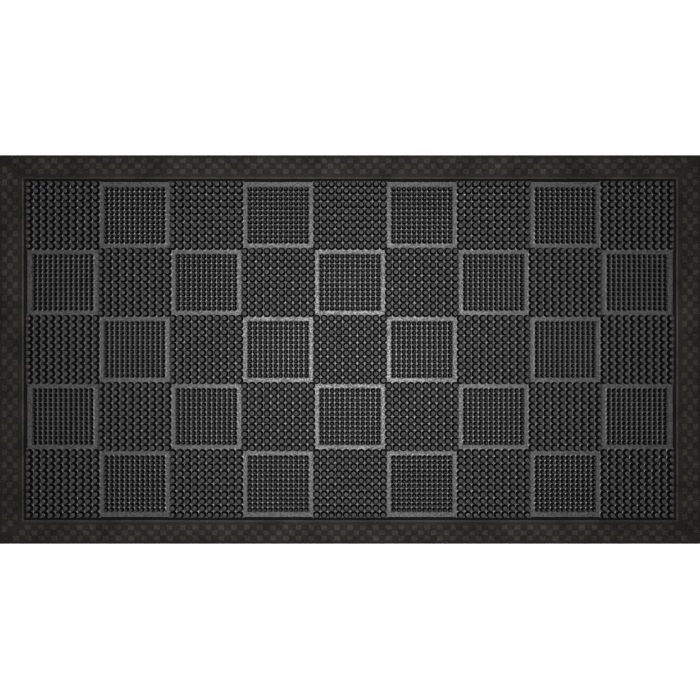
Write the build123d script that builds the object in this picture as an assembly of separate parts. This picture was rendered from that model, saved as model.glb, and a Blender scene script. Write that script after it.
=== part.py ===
from build123d import *
import math
import os

# A moulded black rubber door mat. A thin base sheet carries a checkerboard of tiles, half of
# them with large round studs and half with fine pins, inside a frame of four mitred rails that
# slope down to the mat's outer edge. Millimetres: X runs along the long side, Y across it
# towards the back edge, and Z up. The origin is on the floor under the middle of the mat.

# Overall size
MAT_LENGTH = 700.0
MAT_WIDTH = 388.0
SHEET_THICKNESS = 1.2

# The field of tiles, and the groove between it and the rails
COLUMNS = 9
ROWS = 5
TILE_LENGTH = 71.5
TILE_WIDTH = 66.8
TILE_PAD_THICKNESS = 0.8
GROOVE_WIDTH = 2.4

# Large studs: a steep taper from foot to shoulder, then a chamfer up to a small flat top
STUDS_ALONG = 10
STUDS_ACROSS = 10
STUD_PITCH_ALONG = 7.35
STUD_PITCH_ACROSS = 6.85
STUD_FOOT_RADIUS = 3.3
STUD_SHOULDER_RADIUS = 2.35
STUD_SHOULDER_HEIGHT = 4.6
STUD_TOP_RADIUS = 1.7
STUD_HEIGHT = 5.0

# Fine pins: plain tapers, slimmer and a little lower
PINS_ALONG = 12
PINS_ACROSS = 12
PIN_PITCH_ALONG = 5.1
PIN_PITCH_ACROSS = 4.68
PIN_FOOT_RADIUS = 2.2
PIN_TOP_RADIUS = 1.1
PIN_HEIGHT = 4.6

# Border rails: heights above the floor, and the softened edge beside the groove
RAIL_OUTER_HEIGHT = 2.2
RAIL_INNER_HEIGHT = 5.0
RAIL_LIP_WIDTH = 1.4
RAIL_LIP_DROP = 0.6

# Relief on the rails: every other square of a three-row chequer stands proud
RELIEF_ROWS = 3
RELIEF_EDGE_MARGIN = 3.2
RELIEF_PITCH_ALONG = 6.4
RELIEF_PITCH_ACROSS = 5.6
RELIEF_GAP = 0.5
RELIEF_HEIGHT = 0.35
RELIEF_ROOT = 0.4

# Worked out from the sizes above
FIELD_LENGTH = COLUMNS * TILE_LENGTH
FIELD_WIDTH = ROWS * TILE_WIDTH
END_RAIL_WIDTH = (MAT_LENGTH - FIELD_LENGTH) / 2 - GROOVE_WIDTH
SIDE_RAIL_WIDTH = (MAT_WIDTH - FIELD_WIDTH) / 2 - GROOVE_WIDTH
FIELD_FLOOR = SHEET_THICKNESS + TILE_PAD_THICKNESS


def base_sheet():
    """The flat sheet under everything, whose underside rests on the floor."""
    centre_height = SHEET_THICKNESS / 2
    return Pos(0, 0, centre_height) * Box(MAT_LENGTH, MAT_WIDTH, SHEET_THICKNESS)


def peg(*outline):
    """A round peg standing on the plane of its foot, from its outline's (radius, height) points."""
    top_height = outline[-1][1]
    half_section = Polyline((0, 0), *outline, (0, top_height), close=True)
    return revolve(Plane.XZ * make_face(half_section), Axis.Z)


def stud():
    """One large stud."""
    foot = (STUD_FOOT_RADIUS, 0)
    shoulder = (STUD_SHOULDER_RADIUS, STUD_SHOULDER_HEIGHT)
    top = (STUD_TOP_RADIUS, STUD_HEIGHT)
    return peg(foot, shoulder, top)


def pin():
    """One fine pin."""
    foot = (PIN_FOOT_RADIUS, 0)
    top = (PIN_TOP_RADIUS, PIN_HEIGHT)
    return peg(foot, top)


def tile(one_peg, places):
    """A pad with a grid of pegs on it, moulded as one piece and centred on the Z axis."""
    pad_centre = SHEET_THICKNESS + TILE_PAD_THICKNESS / 2
    pad = Pos(0, 0, pad_centre) * Box(TILE_LENGTH, TILE_WIDTH, TILE_PAD_THICKNESS)
    pegs = [Pos(0, 0, FIELD_FLOOR) * place * one_peg for place in places]
    return pad + pegs


def stud_tile():
    """A tile of large studs. Its outer studs reach a little past the edges of its pad."""
    places = GridLocations(STUD_PITCH_ALONG, STUD_PITCH_ACROSS, STUDS_ALONG, STUDS_ACROSS)
    return tile(stud(), places)


def pin_tile():
    """A tile of fine pins, with a bare margin round them."""
    places = GridLocations(PIN_PITCH_ALONG, PIN_PITCH_ACROSS, PINS_ALONG, PINS_ACROSS)
    return tile(pin(), places)


def tile_place(row, column):
    """Where a tile stands: rows count from the back edge, columns from the left."""
    x = (column - (COLUMNS - 1) / 2) * TILE_LENGTH
    y = ((ROWS - 1) / 2 - row) * TILE_WIDTH
    return Pos(x, y, 0)


def rail_section(width):
    """A rail's cross-section: outer edge at the left, lip beside the groove at the right."""
    lip_start = width - RAIL_LIP_WIDTH
    return Polyline(
        (0, SHEET_THICKNESS),
        (0, RAIL_OUTER_HEIGHT),
        (lip_start, RAIL_INNER_HEIGHT),
        (width, RAIL_INNER_HEIGHT - RAIL_LIP_DROP),
        (width, SHEET_THICKNESS),
        close=True,
    )


def relief_squares(length, width):
    """The raised squares of one rail, each wholly between the rail's two mitres."""
    slope_run = width - RAIL_LIP_WIDTH
    slope_rise = RAIL_INNER_HEIGHT - RAIL_OUTER_HEIGHT
    slope = math.degrees(math.atan2(slope_rise, slope_run))
    size_along = RELIEF_PITCH_ALONG - RELIEF_GAP
    size_across = RELIEF_PITCH_ACROSS - RELIEF_GAP
    square = Box(size_along, size_across, RELIEF_HEIGHT + RELIEF_ROOT)
    square = Pos(0, 0, (RELIEF_HEIGHT - RELIEF_ROOT) / 2) * square
    half_count = math.floor(length / 2 / RELIEF_PITCH_ALONG)
    squares = []
    for row in range(RELIEF_ROWS):
        across = RELIEF_EDGE_MARGIN + (row + 0.5) * RELIEF_PITCH_ACROSS
        height = RAIL_OUTER_HEIGHT + slope_rise * across / slope_run
        mitre_reach = length / 2 - across - RELIEF_PITCH_ACROSS / 2
        for step in range(-half_count, half_count + 1):
            along = step * RELIEF_PITCH_ALONG
            inside = abs(along) + RELIEF_PITCH_ALONG / 2 < mitre_reach
            if inside and (row + step) % 2 == 0:
                squares.append(Pos(along, across, height) * Rot(X=slope) * square)
    return squares


def rail(length, width, mitre_run):
    """One rail along X, its outer edge on Y = 0. Its ends are cut back by mitre_run."""
    section = Plane.YZ * make_face(rail_section(width))
    bar = extrude(section, length / 2, both=True)
    bar = bar + relief_squares(length, width)
    outer_half = length / 2
    inner_half = outer_half - mitre_run
    outline = Polyline(
        (-outer_half, 0),
        (outer_half, 0),
        (inner_half, width),
        (-inner_half, width),
        close=True,
    )
    mitred = extrude(make_face(outline), RAIL_INNER_HEIGHT + RELIEF_HEIGHT)
    return bar & mitred


def rails():
    """The four rails, by node name, each turned and moved to its own edge."""
    side_rail = rail(MAT_LENGTH, SIDE_RAIL_WIDTH, END_RAIL_WIDTH)
    end_rail = rail(MAT_WIDTH, END_RAIL_WIDTH, SIDE_RAIL_WIDTH)
    return {
        "rail_front": Pos(0, -MAT_WIDTH / 2, 0) * side_rail,
        "rail_back": Pos(0, MAT_WIDTH / 2, 0) * Rot(Z=180) * side_rail,
        "rail_left": Pos(-MAT_LENGTH / 2, 0, 0) * Rot(Z=-90) * end_rail,
        "rail_right": Pos(MAT_LENGTH / 2, 0, 0) * Rot(Z=90) * end_rail,
    }


def tiles():
    """Every tile of the chequer, by node name. The corner tiles carry studs."""
    studded = stud_tile()
    pinned = pin_tile()
    placed = {}
    for row in range(ROWS):
        for column in range(COLUMNS):
            has_studs = (row + column) % 2 == 0
            kind = "stud_tile" if has_studs else "pin_tile"
            shape = studded if has_studs else pinned
            name = f"{kind}_r{row + 1}c{column + 1}"
            placed[name] = tile_place(row, column) * shape
    return placed


def main():
    os.makedirs("parts", exist_ok=True)
    nodes = {"base_sheet": base_sheet()}
    nodes.update(rails())
    nodes.update(tiles())
    for name, shape in nodes.items():
        export_step(shape, f"parts/{name}.step")


main()
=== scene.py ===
import math
from dataclasses import dataclass

import bmesh
import bpy
import numpy as np
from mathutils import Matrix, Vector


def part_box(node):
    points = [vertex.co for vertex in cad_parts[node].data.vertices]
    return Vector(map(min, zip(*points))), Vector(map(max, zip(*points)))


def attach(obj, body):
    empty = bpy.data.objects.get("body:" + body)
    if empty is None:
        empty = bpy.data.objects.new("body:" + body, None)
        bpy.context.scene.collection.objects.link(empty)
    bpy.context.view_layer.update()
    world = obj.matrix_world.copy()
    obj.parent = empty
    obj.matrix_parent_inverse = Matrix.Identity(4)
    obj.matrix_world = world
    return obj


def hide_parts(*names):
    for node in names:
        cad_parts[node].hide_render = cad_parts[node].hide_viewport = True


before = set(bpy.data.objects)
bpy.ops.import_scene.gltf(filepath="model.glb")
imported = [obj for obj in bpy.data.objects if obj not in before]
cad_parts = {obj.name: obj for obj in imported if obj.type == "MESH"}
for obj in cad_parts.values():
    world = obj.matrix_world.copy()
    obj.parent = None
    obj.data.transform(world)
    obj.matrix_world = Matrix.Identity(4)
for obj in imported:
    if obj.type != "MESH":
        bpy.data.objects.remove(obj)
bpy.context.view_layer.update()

# A moulded rubber door mat seen from straight above. Metres, in the CAD's frame: X along the
# mat, Y towards its back edge, Z up. Each tile, rail and the sheet is one piece in place of
# its CAD node, with rounded edges, filleted feet and a fine grain.

MM = 0.001
COLUMNS = 9
ROWS = 5
SEED = 20

# What the CAD says
SHEET_LOW, SHEET_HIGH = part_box("base_sheet")
PIN_TILE_LOW, PIN_TILE_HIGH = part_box("pin_tile_r3c4")
STUD_TILE_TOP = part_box("stud_tile_r3c5")[1].z
SIDE_RAIL_LOW, SIDE_RAIL_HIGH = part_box("rail_front")
END_RAIL_LOW, END_RAIL_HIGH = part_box("rail_left")
TILE_X = PIN_TILE_HIGH.x - PIN_TILE_LOW.x
TILE_Y = PIN_TILE_HIGH.y - PIN_TILE_LOW.y
HALF_TILE = np.array([TILE_X, TILE_Y]) / 2
PAD_BOTTOM = PIN_TILE_LOW.z
PAD_THICKNESS = 0.8 * MM
PAD_TOP = PAD_BOTTOM + PAD_THICKNESS
FIELD_HALF = np.array([COLUMNS * TILE_X, ROWS * TILE_Y]) / 2
MAT_HALF = np.array([SHEET_HIGH.x, SHEET_HIGH.y])
END_RAIL_WIDTH = END_RAIL_HIGH.x - END_RAIL_LOW.x
SIDE_RAIL_WIDTH = SIDE_RAIL_HIGH.y - SIDE_RAIL_LOW.y


@dataclass
class Peg:
    """One kind of peg. Radii and heights are in metres, the heights above the tile's floor."""

    name: str
    count: int              # pegs along each side of the tile
    pitch: tuple
    segments: int           # a multiple of eight
    skirt_radius: float     # where the foot's fillet has run out into the floor
    foot: tuple             # radius and height at the top of that fillet
    fillet: float           # how sharply it curves: one is a straight slope
    neck: tuple             # radius and height where the shoulder starts to round over
    crown: tuple            # radius and height where the shoulder meets the shallow crown
    height: float
    reach: tuple            # from the tile's centre to its outline, beside another tile
    edge_reach: tuple       # the same beside the groove
    lean: float             # how far a tip strays from its place
    uneven: float           # how much heights and widths differ, as a share


STUD = Peg(
    name="stud",
    count=10,
    pitch=(7.35 * MM, 6.85 * MM),
    segments=24,
    skirt_radius=3.92 * MM,
    foot=(3.15 * MM, 0.80 * MM),
    fillet=1.7,
    neck=(2.32 * MM, 4.42 * MM),
    crown=(1.62 * MM, 4.89 * MM),
    height=STUD_TILE_TOP - PAD_TOP,
    reach=(HALF_TILE[0] + 1.65 * MM, HALF_TILE[1] + 1.70 * MM),
    edge_reach=(HALF_TILE[0] + 0.70 * MM, HALF_TILE[1] + 0.80 * MM),
    lean=0.15 * MM,
    uneven=0.02,
)
PIN = Peg(
    name="pin",
    count=12,
    pitch=(5.10 * MM, 4.68 * MM),
    segments=16,
    skirt_radius=2.50 * MM,
    foot=(2.00 * MM, 1.00 * MM),
    fillet=1.35,
    neck=(0.98 * MM, 4.12 * MM),
    crown=(0.62 * MM, 4.51 * MM),
    height=PIN_TILE_HIGH.z - PAD_TOP,
    reach=(HALF_TILE[0] - 1.65 * MM, HALF_TILE[1] - 1.70 * MM),
    edge_reach=tuple(HALF_TILE),
    lean=0.22 * MM,
    uneven=0.03,
)

# How far the cells of the outer pins reach onto the bare margin
MARGIN_START = 1.0 * MM

# Which bands of faces, counted inwards from a cell's rim, have which material: first the floor and
# the foot of the fillet, then the flank up to the neck, painted near-black as shade. The rest is the
# tile's own rubber.
FLOOR_LEVELS = (0, 1)
FLANK_LEVELS = (2, 3, 4)
TILE_SLOT, FLANK_SLOT, FLOOR_SLOT = 0, 1, 2

# Border relief, as in the CAD
RELIEF_ROWS = 3
RELIEF_MARGIN = 3.2 * MM
RELIEF_ALONG = 6.4 * MM
RELIEF_ACROSS = 5.6 * MM
RELIEF_HEIGHT = 0.35 * MM
RELIEF_HALF_GAP = 0.25 * MM
RELIEF_BEVEL = 0.22 * MM

# Border section: heights above the floor
RAIL_OUTER_HEIGHT = 2.2 * MM
RAIL_INNER_HEIGHT = 5.0 * MM
LIP_WIDTH = 1.4 * MM
LIP_DROP = 0.6 * MM
LIP_CURVE = 1.6             # how much further the lip drops than the CAD's, being round
LIP_ANGLES = (0, 22, 44, 66, 88)
OUTER_ROUND = 0.5 * MM

# A peg's flank is hollowed: where its waist is, as a share of the flank, and how far it curves in
WAIST_RISE = 0.3
WAIST_CURVE = 1.7

# How unevenly the pegs' tops are moulded: the spread and the most of their tilt, as slopes, how
# much of a peg tilts, as one part in this many, and how the tilt lifts and sinks it
TILT = 0.035
MOST_TILT = 0.07
TOP_PART = 8
TILT_LIFT = 0.5
TILT_SINK = 0.2

# Sheet: the rounding of its lower edge, and what is left under the groove
SHEET_ROUND = 0.4 * MM
UNDER_GROOVE = 0.3 * MM

# Faces that meet at more than this are left sharp
SHARP_ANGLE = math.radians(32)

# Points closer than this are one
WELD = 1e-7

# Camera and stage
CAMERA_HEIGHT = 0.70        # above the mat's outer edge
CAMERA_SHIFT = -0.5 * MM    # across the mat
PICTURE_WIDTH = 1.003       # the mat's length over the picture's width
SENSOR_WIDTH = 36.0
STAGE_HALF = 40.0
STAGE_GAP = 0.05 * MM

# Lamp, and the room's strength from the horizon up to overhead. The band in which it falls is
# given as the upward part of the direction.
LAMP_HEIGHT = 0.80
LAMP_SIZE = 0.30
LAMP_POWER = 13.5
ROOM_AT_HORIZON = 0.50
ROOM_OVERHEAD = 0.01
ROOM_FALL = (0.10, 0.65)
BACKDROP = 1.05

# Materials: how many patches of bloom, and of slow waves, to the metre
BLOOM_SCALE = 38
WAVE_SCALE = 90


# ------------------------------------------------------------------ camera, stage and lights

def make_camera():
    """Straight above the mat, which fills the picture's width."""
    data = bpy.data.cameras.new("camera")
    data.sensor_width = SENSOR_WIDTH
    data.lens = PICTURE_WIDTH * data.sensor_width * CAMERA_HEIGHT / (2 * MAT_HALF[0])
    camera = bpy.data.objects.new("camera", data)
    camera.location = (0, CAMERA_SHIFT, RAIL_OUTER_HEIGHT + CAMERA_HEIGHT)
    bpy.context.scene.collection.objects.link(camera)
    bpy.context.scene.camera = camera


def make_stage(material):
    """A plain pale floor under the mat."""
    half, under = STAGE_HALF, SHEET_LOW.z - STAGE_GAP
    mesh = bpy.data.meshes.new("studio_floor")
    signs = ((-1, -1), (1, -1), (1, 1), (-1, 1))
    corners = [(half * sign_x, half * sign_y, under) for sign_x, sign_y in signs]
    mesh.from_pydata(corners, [], [(0, 1, 2, 3)])
    mesh.materials.append(material)
    stage_floor = bpy.data.objects.new("studio_floor", mesh)
    bpy.context.scene.collection.objects.link(stage_floor)


def disc_light(name, place, size, power):
    """A round soft light at place, shining straight down."""
    data = bpy.data.lights.new(name, "AREA")
    data.shape = "DISK"
    data.size = size
    data.energy = power
    light = bpy.data.objects.new(name, data)
    light.location = place
    bpy.context.scene.collection.objects.link(light)


def make_lights():
    """A soft light over the lens, in a room that is pale at the horizon and dark overhead.

    The camera sees a plain pale backdrop in its place.
    """
    disc_light("over_lens", (0, 0, LAMP_HEIGHT), LAMP_SIZE, LAMP_POWER)
    world = bpy.data.worlds.new("studio")
    bpy.context.scene.world = world
    world.use_nodes = True
    nodes, links = world.node_tree.nodes, world.node_tree.links
    nodes.clear()
    output = nodes.new("ShaderNodeOutputWorld")
    mix = nodes.new("ShaderNodeMixShader")
    room = nodes.new("ShaderNodeBackground")
    backdrop = nodes.new("ShaderNodeBackground")
    backdrop.inputs["Strength"].default_value = BACKDROP
    path = nodes.new("ShaderNodeLightPath")
    direction = nodes.new("ShaderNodeTexCoord")
    split = nodes.new("ShaderNodeSeparateXYZ")
    fall = nodes.new("ShaderNodeMapRange")
    fall.interpolation_type = "SMOOTHSTEP"
    fall.inputs["From Min"].default_value = ROOM_FALL[0]
    fall.inputs["From Max"].default_value = ROOM_FALL[1]
    fall.inputs["To Min"].default_value = ROOM_AT_HORIZON
    fall.inputs["To Max"].default_value = ROOM_OVERHEAD
    links.new(direction.outputs["Generated"], split.inputs["Vector"])
    links.new(split.outputs["Z"], fall.inputs["Value"])
    links.new(fall.outputs["Result"], room.inputs["Strength"])
    links.new(path.outputs["Is Camera Ray"], mix.inputs["Fac"])
    links.new(room.outputs["Background"], mix.inputs[1])
    links.new(backdrop.outputs["Background"], mix.inputs[2])
    links.new(mix.outputs["Shader"], output.inputs["Surface"])
    bpy.context.scene.view_settings.view_transform = "Standard"


# ------------------------------------------------------------------ materials

class Shader:
    """A short way to write a material's nodes."""

    def __init__(self, name, specular=0.5):
        self.material = bpy.data.materials.new(name)
        self.material.use_nodes = True
        tree = self.material.node_tree
        self.nodes, self.links = tree.nodes, tree.links
        self.surface = self.nodes["Principled BSDF"]
        self.surface.inputs["Specular IOR Level"].default_value = specular
        self.place = self.nodes.new("ShaderNodeTexCoord").outputs["Object"]

    def noise(self, scale, detail=3.0, rough=0.55, place=None):
        node = self.nodes.new("ShaderNodeTexNoise")
        node.inputs["Scale"].default_value = scale
        node.inputs["Detail"].default_value = detail
        node.inputs["Roughness"].default_value = rough
        self.links.new(place or self.place, node.inputs["Vector"])
        return node.outputs["Fac"]

    def ramp(self, value, low, high, low_out=0.0, high_out=1.0):
        node = self.nodes.new("ShaderNodeMapRange")
        node.inputs["From Min"].default_value = low
        node.inputs["From Max"].default_value = high
        node.inputs["To Min"].default_value = low_out
        node.inputs["To Max"].default_value = high_out
        self.links.new(value, node.inputs["Value"])
        return node.outputs["Result"]

    def mix(self, share, first, second):
        node = self.nodes.new("ShaderNodeMix")
        node.data_type = "RGBA"
        self._feed(node.inputs["Factor"], share)
        self._feed(node.inputs["A"], first)
        self._feed(node.inputs["B"], second)
        return node.outputs["Result"]

    def maths(self, operation, first, second):
        node = self.nodes.new("ShaderNodeMath")
        node.operation = operation
        self._feed(node.inputs[0], first)
        self._feed(node.inputs[1], second)
        return node.outputs["Value"]

    def bump(self, height, distance, strength=1.0, after=None):
        node = self.nodes.new("ShaderNodeBump")
        node.inputs["Distance"].default_value = distance
        node.inputs["Strength"].default_value = strength
        self.links.new(height, node.inputs["Height"])
        if after is not None:
            self.links.new(after, node.inputs["Normal"])
        return node.outputs["Normal"]

    def _feed(self, socket, value):
        if isinstance(value, bpy.types.NodeSocket):
            self.links.new(value, socket)
        else:
            socket.default_value = value

    def set(self, colour=None, roughness=None, normal=None):
        for name, value in (("Base Color", colour), ("Roughness", roughness), ("Normal", normal)):
            if value is not None:
                self._feed(self.surface.inputs[name], value)
        return self.material


def grey(level, warm=0.0):
    """A near-neutral colour. warm above nought takes a little blue out."""
    return (level * (1 + warm), level * (1 + warm / 2), level * (1 - warm), 1.0)


def mottle(s, grain_size, bloom_share):
    """A share from nought to one: fine specks over broad patches of bloom."""
    speck = s.ramp(s.noise(1 / grain_size, 3, 0.7), 0.36, 0.66)
    bloom = s.ramp(s.noise(BLOOM_SCALE, 4, 0.6), 0.36, 0.66)
    specks = s.maths("MULTIPLY", speck, 1 - bloom_share)
    return s.maths("ADD", specks, s.maths("MULTIPLY", bloom, bloom_share))


def grain(s, size, depth):
    """A fine moulded grain over slow waves."""
    fine = s.bump(s.noise(1 / size, 5, 0.7), depth)
    return s.bump(s.noise(WAVE_SCALE, 2, 0.5), depth * 2.5, 0.6, fine)


def rubber(name, dark, light, roughness, grain_size, grain_depth, warm=0.0, specular=0.5):
    """Moulded black rubber: a bloom of paler patches, a fine grain and an uneven sheen."""
    s = Shader(name, specular)
    share = mottle(s, grain_size, 0.5)
    colour = s.mix(share, grey(dark, warm), grey(light, warm))
    sheen = s.ramp(share, 0.0, 1.0, roughness + 0.05, roughness - 0.05)
    return s.set(colour, sheen, grain(s, grain_size, grain_depth))


def tile_rubber(name, peg):
    """A tile's rubber: a flecked open floor, near-black flanks painted as shade, and dull, worn
    crowns.
    """
    s = Shader(name)
    split = s.nodes.new("ShaderNodeSeparateXYZ")
    s.links.new(s.place, split.inputs["Vector"])
    height = split.outputs["Z"]
    # Masks by height: the floor keeps its flecked colour, and whatever rises above it turns to
    # painted shade
    unshaded_floor = s.ramp(height, PAD_TOP + 0.14 * MM, PAD_TOP + 0.02 * MM)
    on_crown = s.ramp(height, PAD_TOP + peg.neck[1], PAD_TOP + peg.crown[1])
    share = mottle(s, 2.0 * MM, 0.3)
    fleck = s.ramp(s.noise(1 / (1.6 * MM), 2, 0.6), 0.42, 0.58)
    floor = s.mix(fleck, grey(0.002), grey(0.042))
    # Near-black colour for the rising fillet and the shoulder below the crown: painted shade
    flank = s.mix(share, grey(0.0005), grey(0.002))
    crown = s.mix(mottle(s, 1.1 * MM, 0.3), grey(0.003), grey(0.015))
    colour = s.mix(on_crown, s.mix(unshaded_floor, flank, floor), crown)
    sheen_flecks = s.maths("MULTIPLY", fleck, 0.6)
    sheen_share = s.maths("ADD", sheen_flecks, s.maths("MULTIPLY", share, 0.4))
    floor_sheen = s.ramp(sheen_share, 0.0, 1.0, 0.65, 0.35)
    rough = s.maths("MAXIMUM", s.maths("MULTIPLY", on_crown, 0.72), floor_sheen)
    return s.set(colour, rough, grain(s, 1.6 * MM, 0.10 * MM))


def sheltered_rubber(name):
    """The floor between the pins, which no sole reaches: smoother than the bare margins."""
    s = Shader(name)
    share = mottle(s, 2.0 * MM, 0.3)
    colour = s.mix(share, grey(0.012), grey(0.045))
    return s.set(colour, s.ramp(share, 0.0, 1.0, 0.41, 0.31), grain(s, 1.6 * MM, 0.03 * MM))


def painted_shade_flank_rubber(name):
    """The steep, dull flanks of the pegs, where the mould leaves no gloss, painted near-black as
    shade.
    """
    s = Shader(name, 0.08)
    share = mottle(s, 2.0 * MM, 0.3)
    colour = s.mix(share, grey(0.0005), grey(0.002))
    return s.set(colour, s.ramp(share, 0.0, 1.0, 0.92, 0.84), grain(s, 1.6 * MM, 0.04 * MM))


def stage_material():
    """The pale floor: a faint mottle, and a glow of its own so that it stays pale far away."""
    s = Shader("studio_paper", 0.2)
    colour = s.mix(s.noise(3, 2), (0.54, 0.54, 0.54, 1), (0.58, 0.58, 0.58, 1))
    s.surface.inputs["Emission Color"].default_value = (1, 1, 1, 1)
    s.surface.inputs["Emission Strength"].default_value = 0.80
    return s.set(colour, 0.8)


BORDER_GRAIN = {"grain_size": 2.4 * MM, "grain_depth": 0.12 * MM, "warm": 0.18}
MATERIALS = {
    "stud": tile_rubber("stud_tile", STUD),
    "pin": tile_rubber("pin_tile", PIN),
    # Near-black rubber for the top of the fillets and the flanks: painted shade
    "flank": painted_shade_flank_rubber("peg_flank"),
    "sheltered": sheltered_rubber("pin_floor"),
    "border": rubber("border", 0.0005, 0.010, 0.75, specular=0.18, **BORDER_GRAIN),
    # A paler copy of the border's rubber, for the raised relief squares and the upper lip: painted
    # highlight
    "border_relief": rubber("border_relief", 0.001, 0.022, 0.71, specular=0.25, **BORDER_GRAIN),
    # The sheet's rubber is darker than the border's: painted shade in the groove, where the sheet
    # shows
    "sheet": rubber("sheet", 0.001, 0.003, 0.80, 1.2 * MM, 0.03 * MM, specular=0.1),
}


# ------------------------------------------------------------------ tiles

def square_rim(segments):
    """Points evenly spaced round a square of half-side one, from the middle of its right side."""
    turn = np.arange(segments) * 8 / segments

    def wave(at):
        return np.clip(2 - np.abs((at + 4) % 8 - 4), -1, 1)

    return np.stack([wave(turn), wave(turn - 2)], axis=1)


def peg_rings(peg):
    """The rings of a peg from its foot up to its crown, as (radius, height) pairs."""
    foot, neck, crown = (np.array(p) for p in (peg.foot, peg.neck, peg.crown))
    rings = [tuple(foot)]
    waist_radius = neck[0] + (foot[0] - neck[0]) * (1 - WAIST_RISE) ** WAIST_CURVE
    rings.append((waist_radius, foot[1] + (neck[1] - foot[1]) * WAIST_RISE))
    rings.append(tuple(neck))
    for angle in (35, 65):
        turn = math.radians(angle)
        out = crown[0] + (neck[0] - crown[0]) * math.cos(turn)
        up = neck[1] + (crown[1] - neck[1]) * math.sin(turn)
        rings.append((out, up))
    for share in (1.0, 0.5):
        rings.append((crown[0] * share, peg.height - (peg.height - crown[1]) * share**2))
    return rings


def fillet_height(peg, radius):
    """Height of the foot's fillet at a distance from the peg's axis."""
    run = (peg.skirt_radius - radius) / (peg.skirt_radius - peg.foot[0])
    return peg.foot[1] * np.clip(run, 0, None) ** peg.fillet


def cell_lines(count, pitch, low_reach, high_reach, margin):
    """Peg centres along one axis and the lines between their cells, out to the tile's outline."""
    centres = (np.arange(count) - (count - 1) / 2) * pitch
    lines = (np.arange(count + 1) - count / 2) * pitch
    if margin:
        lines[0] -= MARGIN_START
        lines[-1] += MARGIN_START
    else:
        lines[0], lines[-1] = -low_reach, high_reach
    return centres, lines


def cut_corner(rim, peg, signs, corner_index):
    """Moves a corner cell's rim onto the diagonal that it shares with the tile across the corner."""
    spread = peg.segments // 8 - 1
    beside = np.array([peg.reach[0], 2 * HALF_TILE[1] - peg.reach[1]]) * signs
    above = np.array([2 * HALF_TILE[0] - peg.reach[0], peg.reach[1]]) * signs
    turning = signs[0] * signs[1] > 0
    start, end = (beside, above) if turning else (above, beside)
    for step in range(-spread, spread + 1):
        share = (step + spread) / (2 * spread)
        rim[(corner_index + step) % peg.segments] = start + (end - start) * share


def peg_field(peg, reach, cut_corners, margin):
    """Vertices, faces and material slots of a tile's top: a cell of rings round each peg."""
    size, unit = peg.segments, square_rim(peg.segments)
    xs, x_lines = cell_lines(peg.count, peg.pitch[0], reach["left"], reach["right"], margin)
    ys, y_lines = cell_lines(peg.count, peg.pitch[1], reach["front"], reach["back"], margin)
    rings = peg_rings(peg)
    angle = np.arange(size) * 2 * math.pi / size
    circle = np.stack([np.cos(angle), np.sin(angle)], axis=1)
    last = peg.count - 1
    levels = 3 + len(rings)
    level_slots = np.full(levels, TILE_SLOT)
    level_slots[list(FLOOR_LEVELS)] = FLOOR_SLOT
    level_slots[list(FLANK_LEVELS)] = FLANK_SLOT
    corner_eighth = {(1, 1): 1, (-1, 1): 3, (-1, -1): 5, (1, -1): 7}
    vertices, faces = [], []
    for i, x in enumerate(xs):
        for j, y in enumerate(ys):
            centre = np.array([x, y])
            low = centre - (x_lines[i], y_lines[j])
            high = (x_lines[i + 1], y_lines[j + 1]) - centre
            rim = centre + np.where(unit > 0, unit * high, unit * low)
            for signs, eighth in corner_eighth.items():
                corner_cell = (last if signs[0] > 0 else 0, last if signs[1] > 0 else 0)
                if (i, j) == corner_cell and signs in cut_corners:
                    cut_corner(rim, peg, np.array(signs), eighth * size // 8)
            base = len(vertices) * size
            foot_rim = centre + circle * peg.foot[0]
            room = np.linalg.norm(rim - centre, axis=1) - peg.foot[0]
            skirt = np.minimum(0.75, (peg.skirt_radius - peg.foot[0]) / room)
            for share in (1, skirt, skirt / 2):
                ring = foot_rim + (rim - foot_rim) * np.reshape(share, (-1, 1))
                height = fillet_height(peg, np.linalg.norm(ring - centre, axis=1))
                vertices.append(np.column_stack([ring, height]))
            for radius, height in rings:
                ring = centre + circle * radius
                vertices.append(np.column_stack([ring, np.full(size, height)]))
            tip = np.tile([x, y, peg.height], (size, 1))
            vertices.append(tip)
            here, after = np.arange(size), np.roll(np.arange(size), -1)
            for level in range(levels):
                outer, inner = base + level * size, base + (level + 1) * size
                quads = np.stack([outer + here, outer + after, inner + after, inner + here], axis=1)
                faces.append(quads)
    vertices, faces = np.vstack(vertices), np.vstack(faces)
    slots = np.tile(np.repeat(level_slots, size), peg.count**2)
    # The floor beyond the outer pegs is as bare as the margin
    middles = vertices[faces].mean(axis=1)[:, :2]
    outside = np.any(np.abs(middles) > np.array(peg.pitch) * last / 2, axis=1)
    slots[outside & (slots == FLOOR_SLOT)] = TILE_SLOT
    return vertices, faces, slots


def rim_edges(bm):
    """The open edges of a mesh."""
    return [edge for edge in bm.edges if edge.is_boundary]


def grow_rim(bm, move, sharp):
    """Extrudes the open rim by moving each new vertex, and leaves the old rim sharp if asked."""
    edges = rim_edges(bm)
    for edge in edges:
        edge.smooth = not sharp
    made = bmesh.ops.extrude_edge_only(bm, edges=edges)["geom"]
    for part in made:
        if isinstance(part, bmesh.types.BMVert):
            part.co = move(part.co)
        elif isinstance(part, bmesh.types.BMFace):
            part.material_index = TILE_SLOT


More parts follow.
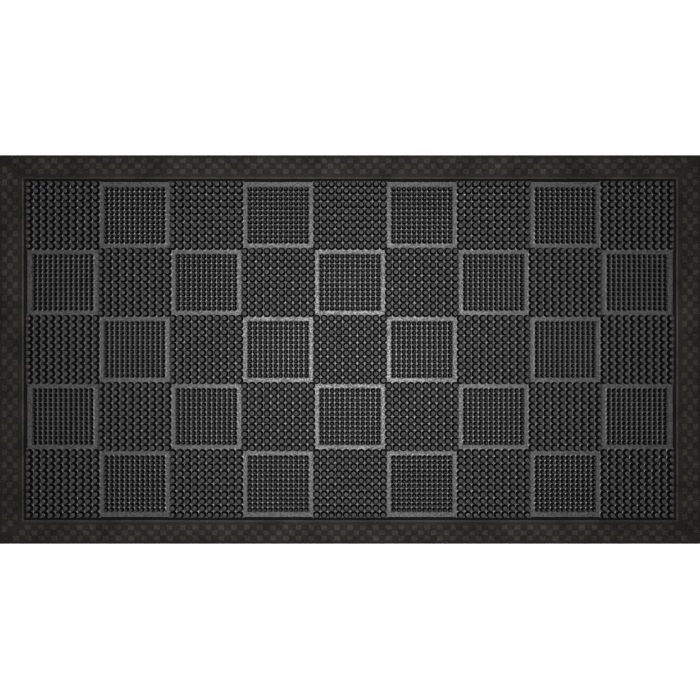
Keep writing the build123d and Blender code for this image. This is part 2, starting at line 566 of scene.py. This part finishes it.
def tile_mesh(peg, sides):
    """A closed tile centred on the Z axis: pegs, floor, margin, walls and underside."""
    far = {"left": 0, "right": 0, "front": 1, "back": 1}
    reach = {s: (peg.reach if s in sides else peg.edge_reach)[axis] for s, axis in far.items()}
    side_of = {(1, 1): ("right", "back"), (-1, 1): ("left", "back"),
               (-1, -1): ("left", "front"), (1, -1): ("right", "front")}
    margin = peg is PIN
    cuts = [] if margin else [c for c, pair in side_of.items() if set(pair) <= set(sides)]
    vertices, faces, slots = peg_field(peg, reach, cuts, margin)
    vertices[:, 2] += PAD_TOP
    mesh = bpy.data.meshes.new(f"{peg.name}_tile")
    mesh.from_pydata(vertices.tolist(), [], faces.tolist())
    mesh.polygons.foreach_set("material_index", slots)
    bm = bmesh.new()
    bm.from_mesh(mesh)
    bmesh.ops.remove_doubles(bm, verts=bm.verts, dist=WELD)
    if margin:
        half = np.array(peg.pitch) * peg.count / 2 + MARGIN_START

        def outwards(co):
            x = co.x * (reach["right"] if co.x > 0 else reach["left"]) / half[0]
            y = co.y * (reach["back"] if co.y > 0 else reach["front"]) / half[1]
            return (x, y, PAD_TOP)

        grow_rim(bm, outwards, sharp=False)
    grow_rim(bm, lambda co: (co.x, co.y, PAD_BOTTOM), sharp=True)
    under = rim_edges(bm)
    for edge in under:
        edge.smooth = False
    bmesh.ops.holes_fill(bm, edges=under, sides=0)
    bmesh.ops.recalc_face_normals(bm, faces=bm.faces)
    for face in bm.faces:
        face.smooth = True
    bm.to_mesh(mesh)
    bm.free()
    return mesh


def roughen(points, peg, rng):
    """Leans, stretches and fattens each peg of a tile a little, as hand-cut moulds do."""
    shape = (peg.count, peg.count)
    half = np.array(peg.pitch) * peg.count / 2
    index = np.floor((points[:, :2] + half) / np.array(peg.pitch)).astype(int)
    inside = np.all((index >= 0) & (index < peg.count), axis=1)
    index = np.clip(index, 0, peg.count - 1)
    i, j = index[:, 0], index[:, 1]
    centre = (index - (peg.count - 1) / 2) * np.array(peg.pitch)
    rise = np.clip((points[:, 2] - PAD_TOP) / peg.height, 0, 1) * inside
    lean = rng.normal(0, peg.lean / 2, shape + (2,)).clip(-peg.lean, peg.lean)[i, j]
    girth = rng.normal(0, peg.uneven, shape).clip(-2 * peg.uneven, 2 * peg.uneven)[i, j]
    tall = rng.normal(0, peg.uneven / 2, shape).clip(-peg.uneven, 0)[i, j]
    tilt = rng.normal(0, TILT, shape + (2,)).clip(-MOST_TILT, MOST_TILT)[i, j]
    offset = points[:, :2] - centre
    moved = points.copy()
    moved[:, :2] += (offset * girth[:, None] + lean) * (rise**1.5)[:, None]
    top = np.clip(rise * TOP_PART - (TOP_PART - 1), 0, 1)
    tipped = (offset * tilt).sum(axis=1)
    moved[:, 2] += peg.height * tall * rise - np.abs(tipped) * TILT_SINK * top
    moved[:, 2] += tipped * top * TILT_LIFT
    moved[:, 2] = np.minimum(moved[:, 2], PAD_TOP + peg.height)
    return moved


def place_mesh(name, mesh, materials, node):
    """Puts a finished mesh into the scene, riding on the root in place of its CAD node."""
    for material in materials:
        mesh.materials.append(material)
    piece = bpy.data.objects.new(name, mesh)
    bpy.context.scene.collection.objects.link(piece)
    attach(piece, "root")
    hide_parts(node)
    return piece


def make_tiles():
    """Every tile of the chequer. Tiles with the same neighbours share one first mesh."""
    first = {}
    for row in range(ROWS):
        for column in range(COLUMNS):
            peg = STUD if (row + column) % 2 == 0 else PIN
            node = f"{peg.name}_tile_r{row + 1}c{column + 1}"
            has = {
                "left": column > 0,
                "right": column < COLUMNS - 1,
                "back": row > 0,
                "front": row < ROWS - 1,
            }
            sides = tuple(side for side, there in has.items() if there)
            if (peg.name, sides) not in first:
                first[peg.name, sides] = tile_mesh(peg, sides)
            mesh = first[peg.name, sides].copy()
            mesh.name = f"{peg.name}s_r{row + 1}c{column + 1}"
            points = np.zeros(len(mesh.vertices) * 3)
            mesh.vertices.foreach_get("co", points)
            rng = np.random.default_rng(SEED + row * COLUMNS + column)
            points = roughen(points.reshape(-1, 3), peg, rng)
            points[:, 0] += (column - (COLUMNS - 1) / 2) * TILE_X
            points[:, 1] += ((ROWS - 1) / 2 - row) * TILE_Y
            mesh.vertices.foreach_set("co", points.ravel())
            mesh.update()
            floor = MATERIALS["sheltered" if peg is PIN else "stud"]
            # The second slot is the near-black flank rubber: painted shade
            materials = [MATERIALS[peg.name], MATERIALS["flank"], floor]
            place_mesh(mesh.name, mesh, materials, node)
    for mesh in first.values():
        bpy.data.meshes.remove(mesh)


# ------------------------------------------------------------------ border rails

def relief_lines(start, pitch, count):
    """Lines round each relief square: its gap's edge and the top of its bevel, both sides."""
    lines = []
    for cell in range(count):
        low, high = start + cell * pitch, start + (cell + 1) * pitch
        inset = RELIEF_HALF_GAP + RELIEF_BEVEL
        lines += [low + RELIEF_HALF_GAP, low + inset, high - inset, high - RELIEF_HALF_GAP]
    return lines


def rail_lines(width):
    """Lines across a rail from its outer edge to its lip, with their heights and relief rows."""
    lip_start = width - LIP_WIDTH
    slope = (RAIL_INNER_HEIGHT - RAIL_OUTER_HEIGHT) / lip_start
    rows = []
    for angle in (0, 25, 50, 75):
        turn = math.radians(angle)
        across = OUTER_ROUND * (1 - math.cos(turn))
        drop = OUTER_ROUND * (1 - math.sin(turn))
        rows.append((across, RAIL_OUTER_HEIGHT + slope * across - drop, -1))
    for number, across in enumerate(relief_lines(RELIEF_MARGIN, RELIEF_ACROSS, RELIEF_ROWS)):
        on_top = number % 4 in (1, 2)
        rows.append((across, RAIL_OUTER_HEIGHT + slope * across, number // 4 if on_top else -1))
    for angle in LIP_ANGLES:
        turn = math.radians(angle)
        across = lip_start + LIP_WIDTH * math.sin(turn)
        rows.append((across, RAIL_INNER_HEIGHT - LIP_DROP * LIP_CURVE * (1 - math.cos(turn)), -1))
    return rows


def rail_mesh(name, length, width, mitre_run):
    """A closed rail along X with its outer edge on Y = 0, its ends cut back by mitre_run."""
    count = 2 * math.floor(length / 2 / RELIEF_ALONG) + 1
    start = -count * RELIEF_ALONG / 2
    alongs = [-length / 2] + relief_lines(start, RELIEF_ALONG, count) + [length / 2]
    rows = rail_lines(width)
    vertices, tops = [], []
    for across, height, relief_row in rows:
        mitre = length / 2 - across * mitre_run / width
        for number, along in enumerate(alongs):
            cell, corner = divmod(number - 1, 4)
            step = cell - count // 2
            reach = abs(step) * RELIEF_ALONG + RELIEF_ALONG / 2
            row_reach = length / 2 - RELIEF_MARGIN - (relief_row + 1) * RELIEF_ACROSS
            raised = relief_row >= 0 and corner in (1, 2) and 0 <= cell < count
            raised = raised and (relief_row + step) % 2 == 0 and reach < row_reach
            lift = RELIEF_HEIGHT if raised else 0.0
            vertices.append((max(-mitre, min(mitre, along)), across, height + lift))
            tops.append(raised)
    wide = len(alongs)

    def past_mitre(vertex):
        """Whether a grid point had to be pulled in to the mitre."""
        across = rows[vertex // wide][0]
        return abs(alongs[vertex % wide]) >= length / 2 - across * mitre_run / width

    # The upper part of the lip is as pale as the relief: a painted highlight along the lip
    lip_highlight_rows = range(len(rows) - len(LIP_ANGLES), len(rows) - 2)
    faces, slots = [], []
    for row in range(len(rows) - 1):
        for number in range(wide - 1):
            corners = [row * wide + number, row * wide + number + 1]
            corners += [(row + 1) * wide + number + 1, (row + 1) * wide + number]
            if not all(past_mitre(c) for c in corners):
                faces.append(corners)
                # Raised relief squares and the upper lip take the paler rubber: painted highlight
                slots.append(int(row in lip_highlight_rows or any(tops[c] for c in corners)))
    mesh = bpy.data.meshes.new(name)
    mesh.from_pydata(vertices, [], faces)
    mesh.polygons.foreach_set("material_index", slots)
    bm = bmesh.new()
    bm.from_mesh(mesh)
    bmesh.ops.delete(bm, geom=[v for v in bm.verts if not v.link_faces], context="VERTS")
    bmesh.ops.remove_doubles(bm, verts=bm.verts, dist=WELD)
    grow_rim(bm, lambda co: (co.x, co.y, PAD_BOTTOM), sharp=True)
    bmesh.ops.holes_fill(bm, edges=rim_edges(bm), sides=0)
    bmesh.ops.recalc_face_normals(bm, faces=bm.faces)
    bm.to_mesh(mesh)
    bm.free()
    mesh.polygons.foreach_set("use_smooth", [True] * len(mesh.polygons))
    mesh.set_sharp_from_angle(angle=SHARP_ANGLE)
    return mesh


def make_rails():
    """The four rails, each turned and moved to its own edge of the mat."""
    across = {"front": (-MAT_HALF[1], 0), "back": (MAT_HALF[1], 180)}
    along = {"left": (-MAT_HALF[0], -90), "right": (MAT_HALF[0], 90)}
    for side, (offset, turn) in {**across, **along}.items():
        is_end = side in along
        length = 2 * MAT_HALF[1] if is_end else 2 * MAT_HALF[0]
        width = END_RAIL_WIDTH if is_end else SIDE_RAIL_WIDTH
        mitre_run = SIDE_RAIL_WIDTH if is_end else END_RAIL_WIDTH
        mesh = rail_mesh(f"border_{side}", length, width, mitre_run)
        points = np.zeros(len(mesh.vertices) * 3)
        mesh.vertices.foreach_get("co", points)
        points = points.reshape(-1, 3)
        cos, sin = round(math.cos(math.radians(turn))), round(math.sin(math.radians(turn)))
        x = points[:, 0] * cos - points[:, 1] * sin
        y = points[:, 0] * sin + points[:, 1] * cos
        points[:, 0] = x + (offset if is_end else 0)
        points[:, 1] = y + (0 if is_end else offset)
        mesh.vertices.foreach_set("co", points.ravel())
        mesh.update()
        materials = [MATERIALS["border"], MATERIALS["border_relief"]]
        place_mesh(mesh.name, mesh, materials, f"rail_{side}")


# ------------------------------------------------------------------ base sheet

def make_sheet():
    """The sheet under everything: rounded at its lower edge, with a V along the groove."""
    groove_half = np.array([MAT_HALF[0] - END_RAIL_WIDTH, MAT_HALF[1] - SIDE_RAIL_WIDTH])
    groove_middle = (groove_half + FIELD_HALF) / 2
    top, bottom = SHEET_HIGH.z, SHEET_LOW.z
    loops = []
    for angle in (0, 30, 60, 90):
        turn = math.radians(angle)
        inset = SHEET_ROUND * (1 - math.sin(turn))
        loops.append((MAT_HALF - inset, bottom + SHEET_ROUND * (1 - math.cos(turn))))
    loops.append((MAT_HALF, top))
    loops.append((groove_half, top))
    loops.append((groove_middle, bottom + UNDER_GROOVE))
    loops.append((FIELD_HALF, top))
    mesh = bpy.data.meshes.new("sheet")
    vertices, faces = [], []
    for half, height in loops:
        for sign_x, sign_y in ((-1, -1), (1, -1), (1, 1), (-1, 1)):
            vertices.append((half[0] * sign_x, half[1] * sign_y, height))
    for level in range(len(loops) - 1):
        low, high = 4 * level, 4 * (level + 1)
        for k in range(4):
            after = (k + 1) % 4
            faces.append((low + k, low + after, high + after, high + k))
    faces.append((3, 2, 1, 0))
    top_loop = 4 * (len(loops) - 1)
    faces.append((top_loop, top_loop + 1, top_loop + 2, top_loop + 3))
    mesh.from_pydata(vertices, [], faces)
    mesh.polygons.foreach_set("use_smooth", [True] * len(mesh.polygons))
    mesh.set_sharp_from_angle(angle=SHARP_ANGLE)
    place_mesh("sheet", mesh, [MATERIALS["sheet"]], "base_sheet")


# ------------------------------------------------------------------ assembly

make_camera()
make_stage(stage_material())
make_lights()
make_sheet()
make_rails()
make_tiles()
